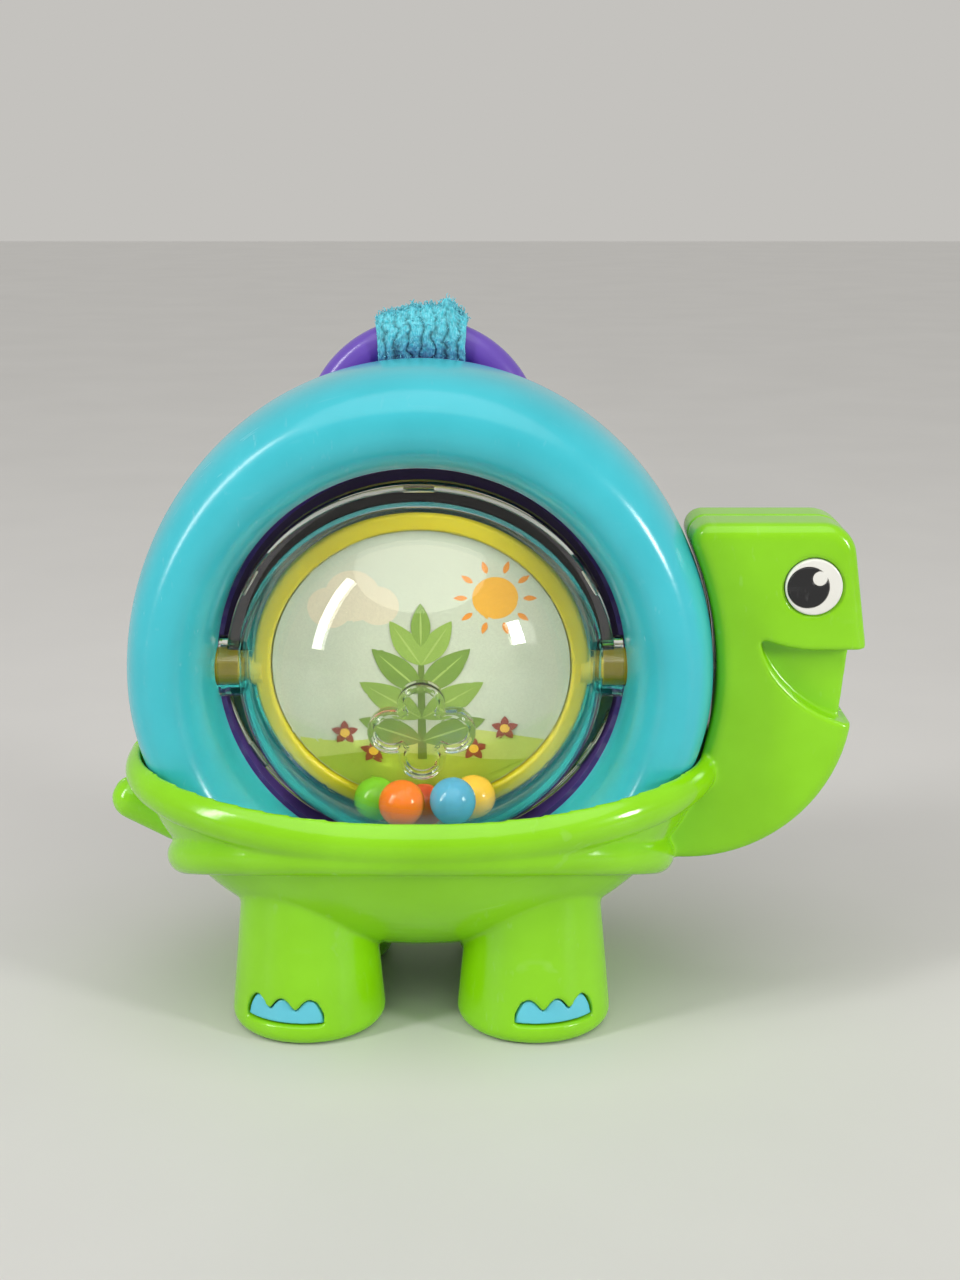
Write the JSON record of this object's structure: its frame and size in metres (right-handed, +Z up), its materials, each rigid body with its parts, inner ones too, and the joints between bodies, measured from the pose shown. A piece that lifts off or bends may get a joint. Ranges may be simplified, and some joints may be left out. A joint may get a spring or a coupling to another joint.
{
  "type": "turtle rattle",
  "caption": "Turtle-shaped plastic rattle: a clear ball with loose beads and a picture disc turns on side pivots in a ring shell, on a moulded body with legs, head, tail and hanging loop",
  "frame": {"origin": "on the floor, below the middle of the toy's length and depth", "axes": "+X towards the head, +Y towards the side with the hanging loop, +Z up"},
  "size_m": [0.1442, 0.0804, 0.1327],
  "materials": {
    "green_plastic": "glossy moulded lime green",
    "blue_plastic": "glossy moulded turquoise",
    "purple_plastic": "glossy moulded purple",
    "yellow_plastic": "satin moulded yellow",
    "clear_plastic": "clear, polished",
    "white_plastic": "glossy white",
    "black_plastic": "glossy black",
    "toe_plastic": "satin light blue",
    "picture_print": "printed card under clear plastic",
    "strap_fabric": "woven teal tape, cut and frayed",
    "screw_steel": "plain steel",
    "bead_green_plastic": "glossy green",
    "bead_red_plastic": "glossy red",
    "bead_yellow_plastic": "glossy yellow",
    "bead_orange_plastic": "glossy orange",
    "bead_blue_plastic": "glossy blue"
  },
  "bodies": {
    "toy": {"shell_front": "blue_plastic", "shell_back": "purple_plastic", "hanging_strap": "strap_fabric", "shell_screw_1": "screw_steel", "shell_screw_2": "screw_steel", "shell_screw_3": "screw_steel", "shell_screw_4": "screw_steel", "body_screw_1": "screw_steel", "body_screw_2": "screw_steel", "body_screw_3": "screw_steel", "body_screw_4": "screw_steel", "body_front": "green_plastic", "body_back": "green_plastic", "eye_front": "white_plastic", "eye_back": "white_plastic", "pupil_front": "black_plastic", "pupil_back": "black_plastic", "toes_front_tail_end": "toe_plastic", "toes_front_head_end": "toe_plastic", "toes_back_tail_end": "toe_plastic", "toes_back_head_end": "toe_plastic"},
    "ball": {"ball_dome_front": "clear_plastic", "ball_dome_back": "clear_plastic", "picture_ring": "yellow_plastic", "picture_disc_front": "picture_print", "picture_disc_back": "picture_print"},
    "loose_filling": {"bead_green": "bead_green_plastic", "bead_red": "bead_red_plastic", "bead_yellow": "bead_yellow_plastic", "bead_orange": "bead_orange_plastic", "bead_blue": "bead_blue_plastic", "clear_charm": "clear_plastic"}
  },
  "joints": [
    {"name": "ball_spin", "type": "hinge", "parent": "toy", "child": "ball", "pos_m": [-0.01145, 0, 0.0652], "axis": [1, 0, 0], "continuous": true},
    {"name": "bead_tumble", "type": "hinge", "parent": "ball", "child": "loose_filling", "pos_m": [-0.01145, 0, 0.0652], "axis": [0, -0.9816, -0.1908], "continuous": true}
  ]
}
